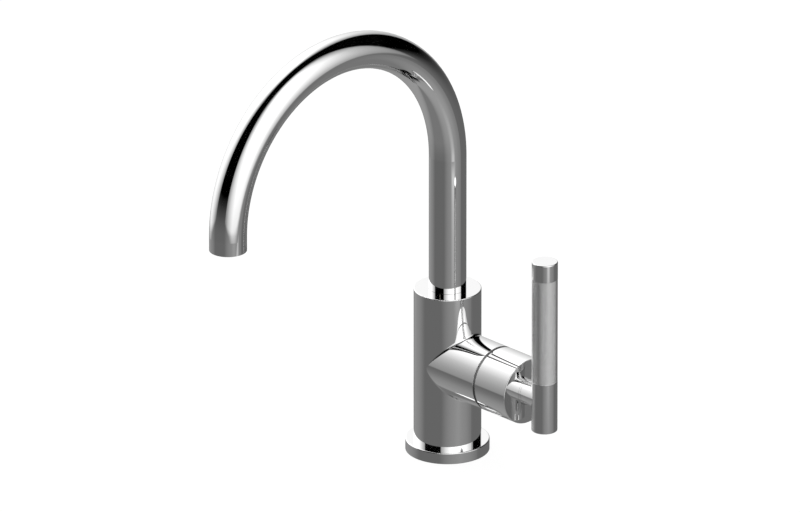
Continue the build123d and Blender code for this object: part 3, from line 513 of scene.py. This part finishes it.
def knurl_tree():
    """Geometry nodes for diamond teeth round the Z axis, in staggered rows that meet at their corners."""
    tree, size = growing_tree("diamond_knurl", {
        "Teeth": "NodeSocketInt", "Rows": "NodeSocketInt", "Radius": "NodeSocketFloat",
        "Length": "NodeSocketFloat", "Tooth depth": "NodeSocketFloat", "Land share": "NodeSocketFloat"})
    half_turn = calc(tree, "DIVIDE", math.pi, size["Teeth"])
    half_row = calc(tree, "DIVIDE", size["Length"], product(tree, size["Rows"], 2.0))

    # one tooth: a four-sided cone with a flat top, its corners half a step out, bent round the axis
    inputs = {"Vertices": 4, "Radius Top": size["Land share"], "Radius Bottom": 1.0, "Depth": 1.0}
    cone = add_node(tree, "GeometryNodeMeshCone", inputs, fill_type="NGON")
    inputs = {"Geometry": cone.outputs["Mesh"], "Selection": cone.outputs["Bottom"]}
    open_cone = add_node(tree, "GeometryNodeDeleteGeometry", inputs, domain="FACE")
    part = parts_of(tree, add_node(tree, "GeometryNodeInputPosition").outputs["Position"])
    sunk = product(tree, calc(tree, "SUBTRACT", part["Z"], 1.0), size["Tooth depth"])
    radius = total(tree, size["Radius"], sunk)
    angle = product(tree, part["X"], half_turn)
    bent = vector_of(tree, X=product(tree, radius, calc(tree, "COSINE", angle)),
                     Y=product(tree, radius, calc(tree, "SINE", angle)),
                     Z=product(tree, part["Y"], half_row))
    tooth = add_node(tree, "GeometryNodeSetPosition",
                     {"Geometry": open_cone.outputs["Geometry"], "Position": bent})

    # the places: every other point of a grid of half steps, whose columns hold an odd number of points
    column = total(tree, product(tree, size["Rows"], 2.0), 1.0)
    count = product(tree, column, product(tree, size["Teeth"], 2.0))
    index = add_node(tree, "GeometryNodeInputIndex").outputs["Index"]
    row = calc(tree, "MODULO", index, column)
    turn = product(tree, calc(tree, "FLOOR", calc(tree, "DIVIDE", index, column)), half_turn)
    height = vector_of(tree, Z=product(tree, row, half_row))
    points = add_node(tree, "GeometryNodePoints", {"Count": count, "Position": height})
    heading = add_node(tree, "FunctionNodeEulerToRotation", {"Euler": vector_of(tree, Z=turn)})
    staggered = calc(tree, "LESS_THAN", calc(tree, "MODULO", index, 2.0), 0.5)
    placed = add_node(tree, "GeometryNodeInstanceOnPoints",
                      {"Points": points.outputs["Points"], "Selection": staggered,
                       "Instance": tooth.outputs["Geometry"], "Rotation": heading.outputs["Rotation"]})
    end_tree(tree, placed.outputs["Instances"], size["Finish"])
    return tree


def grown(name, tree, values):
    """The plain mesh that a geometry nodes tree makes from named input values."""
    source = linked(name, bpy.data.meshes.new(name + "_seed"))
    modifier = source.modifiers.new("grow", "NODES")
    modifier.node_group = tree
    for socket in tree.interface.items_tree:
        if socket.in_out == "INPUT":
            modifier[socket.identifier] = values[socket.name]
    depsgraph = bpy.context.evaluated_depsgraph_get()
    mesh = bpy.data.meshes.new_from_object(source.evaluated_get(depsgraph), depsgraph=depsgraph)
    mesh.name = name
    source.modifiers.remove(modifier)
    source.data = mesh
    return source


def close_sleeve(mesh, bore, low, high, centre):
    """Cuts a round skin flat at two heights, closes it with end faces and a bore, and moves it in place."""
    shape = bmesh.new()
    shape.from_mesh(mesh)
    for vertex in shape.verts:
        vertex.co.z = min(max(vertex.co.z, low), high)
    bmesh.ops.remove_doubles(shape, verts=shape.verts, dist=WELD)
    rims = [edge for edge in shape.edges if edge.is_boundary]
    inward = bmesh.ops.extrude_edge_only(shape, edges=rims)["geom"]
    for vertex in (item for item in inward if isinstance(item, bmesh.types.BMVert)):
        vertex.co.xy = vertex.co.xy.normalized() * bore
    inner = [item for item in inward if isinstance(item, bmesh.types.BMEdge) and item.is_boundary]
    bmesh.ops.bridge_loops(shape, edges=inner)
    bmesh.ops.recalc_face_normals(shape, faces=shape.faces)
    if not all(edge.is_manifold for edge in shape.edges):
        raise RuntimeError(f"{mesh.name} isn't closed")
    bmesh.ops.translate(shape, verts=shape.verts, vec=centre)
    shape.to_mesh(mesh)
    shape.free()


def knurl_material(knurling, axis, tip, root):
    """Chrome over knurling: bright worn crests, and grooves that are rougher with a trace of lime and
    darker with painted shade.
    """
    material, tree, shader, place = new_material("knurled_chrome")
    centred = add_node(tree, "ShaderNodeMapping", {"Vector": place, "Location": (-axis.x, -axis.y, 0.0)})
    split = parts_of(tree, centred.outputs["Vector"])
    radius = length_of(tree, vector_of(tree, X=split["X"], Y=split["Y"]))
    crest = ease(tree, radius, root, tip, 0.0, 1.0)
    marks = use_group(tree, handling_group(), {"Vector": place, "Drop size": 8.0 * MM})
    # painted shade: the colour darkens from the crests down into the grooves
    feed(tree, shader.inputs["Base Color"],
         blend_colour(tree, crest, knurling.groove_shade_colour, knurling.crest_colour))
    dull = product(tree, calc(tree, "SUBTRACT", 1.0, crest), knurling.groove_roughness)
    smear = product(tree, marks["Smear"], knurling.smear_roughness)
    feed(tree, shader.inputs["Roughness"], total(tree, dull, smear, knurling.roughness))
    shader.inputs["Metallic"].default_value = 1.0
    return material


class MIXER_OT_knurling(bpy.types.Operator):
    """Cuts the grip's diamond knurling in place of its plain sleeve"""
    bl_idname = "mixer.knurling"
    bl_label = "Knurled grip"

    def execute(self, context):
        knurling = context.scene.mixer_knurling
        low, high = (Vector(corner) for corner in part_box("knurled_grip"))
        rod_low, rod_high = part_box("handle_core_rod")
        axis = (low + high) / 2
        radius = (high.x - low.x) / 2
        length = high.z - low.z
        bore = (rod_high[0] - rod_low[0]) / 2 + knurling.bore_slip
        finish = knurl_material(knurling, axis, radius, radius - knurling.tooth_depth)
        grip = grown("grip_knurling", knurl_tree(), {
            "Teeth": knurling.teeth, "Rows": knurling.rows, "Radius": radius, "Length": length,
            "Tooth depth": knurling.tooth_depth, "Land share": knurling.land, "Finish": finish})
        close_sleeve(grip.data, bore, 0.0, length, (axis.x, axis.y, low.z))
        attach(grip, "lever")
        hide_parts("knurled_grip")
        return {"FINISHED"}


def turned_metal(finish, node, axis, colour, roughness):
    """Metal turned on a lathe about a node's own axis."""
    material, tree, shader, place = new_material(f"{finish}_{node}")
    low, high = (Vector(corner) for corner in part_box(node))
    inputs = {0: place, 1: (low + high) / 2}
    centred = add_node(tree, "ShaderNodeVectorMath", inputs, operation="SUBTRACT").outputs["Vector"]
    laid = add_node(tree, "ShaderNodeMapping", {"Vector": centred, "Rotation": LAY_ON_Z[axis]})
    rings = use_group(tree, turning_group(), {"Vector": laid.outputs["Vector"], "Feed": LATHE_FEED})
    marks = use_group(tree, handling_group(), {"Vector": place, "Drop size": 6.0 * MM})
    feed(tree, shader.inputs["Base Color"],
         blend_colour(tree, rings["Tone"], shaded(colour, LATHE_SHADE), colour))
    smear = product(tree, marks["Smear"], LATHE_SMEAR)
    tone = product(tree, rings["Tone"], LATHE_TONE)
    feed(tree, shader.inputs["Roughness"], total(tree, smear, tone, roughness))
    shader.inputs["Metallic"].default_value = 1.0
    bump(tree, shader, rings["Height"], LATHE_DEPTH)
    return material


def moulded(name, colour, roughness, grain_size, grain_depth, shade):
    """Moulded plastic, rubber or pressed ceramic, with its grain and a slow change of tone."""
    material, tree, shader, place = new_material(name)
    skin = use_group(tree, moulding_group(), {"Vector": place, "Grain size": grain_size})
    mottled = blend_colour(tree, skin["Mottle"], shaded(colour, shade), colour)
    feed(tree, shader.inputs["Base Color"], mottled)
    dulled = product(tree, skin["Mottle"], MOTTLE_ROUGHNESS)
    feed(tree, shader.inputs["Roughness"], total(tree, dulled, roughness))
    bump(tree, shader, skin["Grain"], grain_depth)
    return material


class MIXER_OT_turned(bpy.types.Operator):
    """Gives the turned brass and steel pieces their lathe marks"""
    bl_idname = "mixer.turned"
    bl_label = "Turned metal"

    def execute(self, context):
        inner = context.scene.mixer_inner
        for node, axis in BRASS_NODES.items():
            paint((node,), turned_metal("bare_brass", node, axis, inner.brass, BRASS_ROUGHNESS))
        for node, axis in STEEL_NODES.items():
            paint((node,), turned_metal("steel", node, axis, inner.steel, STEEL_ROUGHNESS))
        return {"FINISHED"}


class MIXER_OT_moulded(bpy.types.Operator):
    """Gives the plastic pieces, the rubber seals and the ceramic discs their surfaces"""
    bl_idname = "mixer.moulded"
    bl_label = "Plastic, rubber and ceramic"

    def execute(self, context):
        inner = context.scene.mixer_inner
        for nodes, name, colour, *surface in MOULDED:
            paint(nodes, moulded(name, getattr(inner, colour), *surface))
        return {"FINISHED"}


def cloth_tree():
    """Geometry nodes for round woven wire cloth with a rim, flat on the XY plane."""
    tree, size = growing_tree("wire_cloth", {
        "Wires": "NodeSocketInt", "Radius": "NodeSocketFloat", "Wire radius": "NodeSocketFloat",
        "Rim radius": "NodeSocketFloat", "Sway": "NodeSocketFloat"})
    reach = calc(tree, "SUBTRACT", size["Radius"], size["Rim radius"])
    pitch = calc(tree, "DIVIDE", product(tree, reach, 2.0), total(tree, size["Wires"], 1.0))

    # straight wires along X, spread along Y, each one cut to the disc
    inputs = {"Start": vector_of(tree, X=product(tree, reach, -1.0)), "End": vector_of(tree, X=reach)}
    line = add_node(tree, "GeometryNodeCurvePrimitiveLine", inputs)
    inputs = {"Curve": line.outputs["Curve"], "Count": WIRE_POINTS}
    fine = add_node(tree, "GeometryNodeResampleCurve", inputs, mode="COUNT")
    index = add_node(tree, "GeometryNodeInputIndex").outputs["Index"]
    middle = product(tree, calc(tree, "SUBTRACT", size["Wires"], 1.0), 0.5)
    spot = vector_of(tree, Y=product(tree, calc(tree, "SUBTRACT", index, middle), pitch))
    spots = add_node(tree, "GeometryNodePoints", {"Count": size["Wires"], "Position": spot})
    placed = add_node(tree, "GeometryNodeInstanceOnPoints",
                      {"Points": spots.outputs["Points"], "Instance": fine.outputs["Curve"]})
    wires = add_node(tree, "GeometryNodeRealizeInstances", {"Geometry": placed.outputs["Instances"]})
    position = add_node(tree, "GeometryNodeInputPosition").outputs["Position"]
    outside = calc(tree, "GREATER_THAN", length_of(tree, position), reach)
    cut = add_node(tree, "GeometryNodeDeleteGeometry",
                   {"Geometry": wires.outputs["Geometry"], "Selection": outside}, domain="POINT")

    # over and under: the sway changes sign from one wire to the next and from one crossing to the next
    split = parts_of(tree, position)
    steps = total(tree, calc(tree, "DIVIDE", split["X"], pitch), calc(tree, "DIVIDE", split["Y"], pitch))
    rise = product(tree, calc(tree, "COSINE", product(tree, steps, math.pi)), size["Sway"])
    swayed = add_node(tree, "GeometryNodeSetPosition",
                      {"Geometry": cut.outputs["Geometry"], "Offset": vector_of(tree, Z=rise)})
    turned = add_node(tree, "GeometryNodeTransform",
                      {"Geometry": swayed.outputs["Geometry"], "Rotation": (math.pi, 0.0, math.pi / 2)})
    circles = ((RIM_POINTS, reach), (WIRE_SIDES, size["Wire radius"]), (RIM_SIDES, size["Rim radius"]))
    rim, round_wire, round_rim = (
        add_node(tree, "GeometryNodeCurvePrimitiveCircle", {"Resolution": sides, "Radius": radius})
        for sides, radius in circles)
    joined = add_node(tree, "GeometryNodeJoinGeometry")
    for curve, profile in ((rim, round_rim), (swayed, round_wire), (turned, round_wire)):
        inputs = {"Curve": curve.outputs[0], "Profile Curve": profile.outputs["Curve"], "Fill Caps": True}
        tube = add_node(tree, "GeometryNodeCurveToMesh", inputs)
        tree.links.new(tube.outputs["Mesh"], joined.inputs["Geometry"])
    end_tree(tree, joined.outputs["Geometry"], size["Finish"])
    return tree


class MIXER_OT_screen(bpy.types.Operator):
    """Weaves the outlet's wire screen in place of its plain pierced disc"""
    bl_idname = "mixer.screen"
    bl_label = "Wire screen"

    def execute(self, context):
        cloth, inner = context.scene.mixer_screen, context.scene.mixer_inner
        low, high = (Vector(corner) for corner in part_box("aerator_screen"))
        finish = turned_metal("steel", "aerator_screen", "Z", inner.steel, STEEL_ROUGHNESS)
        screen = grown("aerator_wire_screen", cloth_tree(), {
            "Wires": cloth.wires, "Radius": (high.x - low.x) / 2, "Wire radius": cloth.wire_radius,
            "Rim radius": (high.z - low.z) / 2, "Sway": cloth.sway, "Finish": finish})
        screen.data.transform(Matrix.Translation((low + high) / 2))
        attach(screen, "spout")
        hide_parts("aerator_screen")
        return {"FINISHED"}


def studio_world(settings):
    """White for the camera, soft light for matt surfaces, and softboxes over a grey floor for metal."""
    world = bpy.data.worlds.new("studio")
    world.use_nodes = True
    tree = world.node_tree
    tree.nodes.clear()
    direction = add_node(tree, "ShaderNodeTexCoord").outputs["Generated"]
    # the softboxes' heading becomes the X axis
    turned = add_node(tree, "ShaderNodeVectorRotate",
                      {"Vector": direction, "Angle": settings.softbox_heading - math.pi / 2},
                      rotation_type="Z_AXIS")
    split = parts_of(tree, turned.outputs["Vector"])
    ahead = calc(tree, "MAXIMUM", calc(tree, "ABSOLUTE", split["X"]), WELD)
    across = calc(tree, "DIVIDE", calc(tree, "ABSOLUTE", split["Y"]), ahead)
    height = calc(tree, "DIVIDE", split["Z"], ahead)
    depth = product(tree, split["Z"], -1.0)

    # upright softboxes, brightest in the middle, with soft edges
    side = ease(tree, across, *SOFTBOX_SIDE, 1.0, 0.0)
    top = ease(tree, height, *SOFTBOX_TOP, 1.0, 0.0)
    foot = ease(tree, height, *SOFTBOX_FOOT, 0.0, 1.0)
    mask = product(tree, side, top, foot)
    spread, rise = follow(tree, across, SOFTBOX_SPREAD), follow(tree, height, SOFTBOX_RISE)
    softboxes = product(tree, spread, rise, mask)

    # grey floor, dark towards the horizon, with the softboxes' light on it
    below = ease(tree, depth, 0.0, HORIZON_EDGE, 0.0, 1.0)
    lit = product(tree, ease(tree, across, 0.0, FLOOR_LIT_REACH, FLOOR_LIT, 0.0), below)
    floor = total(tree, follow(tree, depth, FLOOR_TONES), lit)
    studio = total(tree, softboxes, product(tree, floor, calc(tree, "SUBTRACT", 1.0, mask)))

    path = add_node(tree, "ShaderNodeLightPath").outputs
    mirrored = calc(tree, "MAXIMUM", path["Is Glossy Ray"], path["Is Transmission Ray"])
    strength = total(tree, product(tree, studio, mirrored), calc(tree, "SUBTRACT", 1.0, mirrored))
    inputs = {"Color": (1.0, 1.0, 1.0, 1.0), "Strength": strength}
    background = add_node(tree, "ShaderNodeBackground", inputs)
    add_node(tree, "ShaderNodeOutputWorld", {"Surface": background.outputs["Background"]})
    bpy.context.scene.world = world


def stage_card(name, finish, from_x, to_x, half_width):
    """A flat stage card on the XY plane with an empty material, and that material's tree."""
    mesh = bpy.data.meshes.new(name)
    mesh.from_pydata([(from_x, -half_width, 0.0), (to_x, -half_width, 0.0), (to_x, half_width, 0.0),
                      (from_x, half_width, 0.0)], [], [(0, 1, 2, 3)])
    material, tree = blank_material(finish)
    mesh.materials.append(material)
    return linked(name, mesh), tree


def light_up(tree, base, strength):
    """Puts out a shader with light of its own added."""
    glow = add_node(tree, "ShaderNodeEmission", {"Strength": strength})
    both = add_node(tree, "ShaderNodeAddShader", {0: base.outputs[0], 1: glow.outputs[0]})
    add_node(tree, "ShaderNodeOutputMaterial", {"Surface": both.outputs[0]})


def studio_floor():
    """A white floor that keeps a faint shadow; metal sees the studio's grey floor instead."""
    floor, tree = stage_card("floor", "floor_white", -FLOOR_REACH, FLOOR_REACH, FLOOR_REACH)
    matt = add_node(tree, "ShaderNodeBsdfDiffuse", {"Color": (FLOOR_MATT, FLOOR_MATT, FLOOR_MATT, 1.0)})
    camera_ray = add_node(tree, "ShaderNodeLightPath").outputs["Is Camera Ray"]
    light_up(tree, matt, product(tree, camera_ray, FLOOR_WHITE))
    floor.visible_glossy = False
    floor.visible_transmission = False


def floor_glow(settings):
    """A streak of light on the grey floor, brighter far out, that only mirrors see."""
    card, tree = stage_card("floor_glow", "floor_glow", STREAK_FROM, STREAK_TO, STREAK_HALF_WIDTH)
    card.location.z = STREAK_LIFT
    card.rotation_euler.z = math.pi / 2 - settings.glow_heading
    split = parts_of(tree, add_node(tree, "ShaderNodeTexCoord").outputs["Object"])
    across = calc(tree, "ABSOLUTE", calc(tree, "DIVIDE", split["Y"], split["X"]))
    width = ease(tree, across, *STREAK_EDGE, 1.0, 0.0)
    light_up(tree, add_node(tree, "ShaderNodeBsdfTransparent"),
             product(tree, width, follow(tree, split["X"], STREAK_LENGTH)))
    for ray in ("camera", "diffuse", "transmission", "volume_scatter", "shadow"):
        setattr(card, f"visible_{ray}", False)


def studio_camera(settings):
    """A long lens on the photograph's line of sight."""
    azimuth, elevation = settings.camera_azimuth, settings.camera_elevation
    back = Vector((math.sin(azimuth) * math.cos(elevation), -math.cos(azimuth) * math.cos(elevation),
                   math.sin(elevation)))
    data = bpy.data.cameras.new("camera")
    data.sensor_width = SENSOR_WIDTH
    data.lens = SENSOR_WIDTH * settings.camera_distance / settings.view_width
    data.clip_start, data.clip_end = CLIP
    camera = linked("camera", data)
    camera.location = Vector(settings.view_centre) + back * settings.camera_distance
    camera.rotation_mode = "QUATERNION"
    camera.rotation_quaternion = (-back).to_track_quat("-Z", "Y")
    bpy.context.scene.camera = camera


class MIXER_OT_stage(bpy.types.Operator):
    """Makes the floor, the studio light and the camera"""
    bl_idname = "mixer.stage"
    bl_label = "Stage"

    def execute(self, context):
        settings = context.scene.mixer_studio
        studio_world(settings)
        studio_floor()
        floor_glow(settings)
        studio_camera(settings)
        context.scene.view_settings.view_transform = "Standard"
        return {"FINISHED"}


SETTINGS = {"mixer_plate": MixerPlate, "mixer_knurling": MixerKnurling, "mixer_inner": MixerInner,
            "mixer_screen": MixerScreen, "mixer_studio": MixerStudio}
OPERATORS = (MIXER_OT_chrome, MIXER_OT_turned, MIXER_OT_moulded, MIXER_OT_knurling, MIXER_OT_screen,
             MIXER_OT_stage)


class MIXER_PT_panel(bpy.types.Panel):
    """Lists the mixer's settings and steps"""
    bl_idname = "MIXER_PT_panel"
    bl_label = "Basin mixer"
    bl_space_type = "VIEW_3D"
    bl_region_type = "UI"
    bl_category = "Mixer"

    def draw(self, context):
        layout = self.layout
        for name in SETTINGS:
            group = getattr(context.scene, name)
            for setting in group.bl_rna.properties.keys():
                if setting not in ("rna_type", "name"):
                    layout.prop(group, setting)
        for step in OPERATORS:
            layout.operator(step.bl_idname)


CLASSES = tuple(SETTINGS.values()) + OPERATORS + (MIXER_PT_panel,)


def register():
    for cls in CLASSES:
        bpy.utils.register_class(cls)
    for name, group in SETTINGS.items():
        setattr(bpy.types.Scene, name, PointerProperty(type=group))


def unregister():
    for name in SETTINGS:
        delattr(bpy.types.Scene, name)
    for cls in reversed(CLASSES):
        bpy.utils.unregister_class(cls)


def main():
    register()
    bpy.ops.mixer.chrome()
    bpy.ops.mixer.turned()
    bpy.ops.mixer.moulded()
    bpy.ops.mixer.knurling()
    bpy.ops.mixer.screen()
    bpy.ops.mixer.stage()


if __name__ == "__main__":
    main()
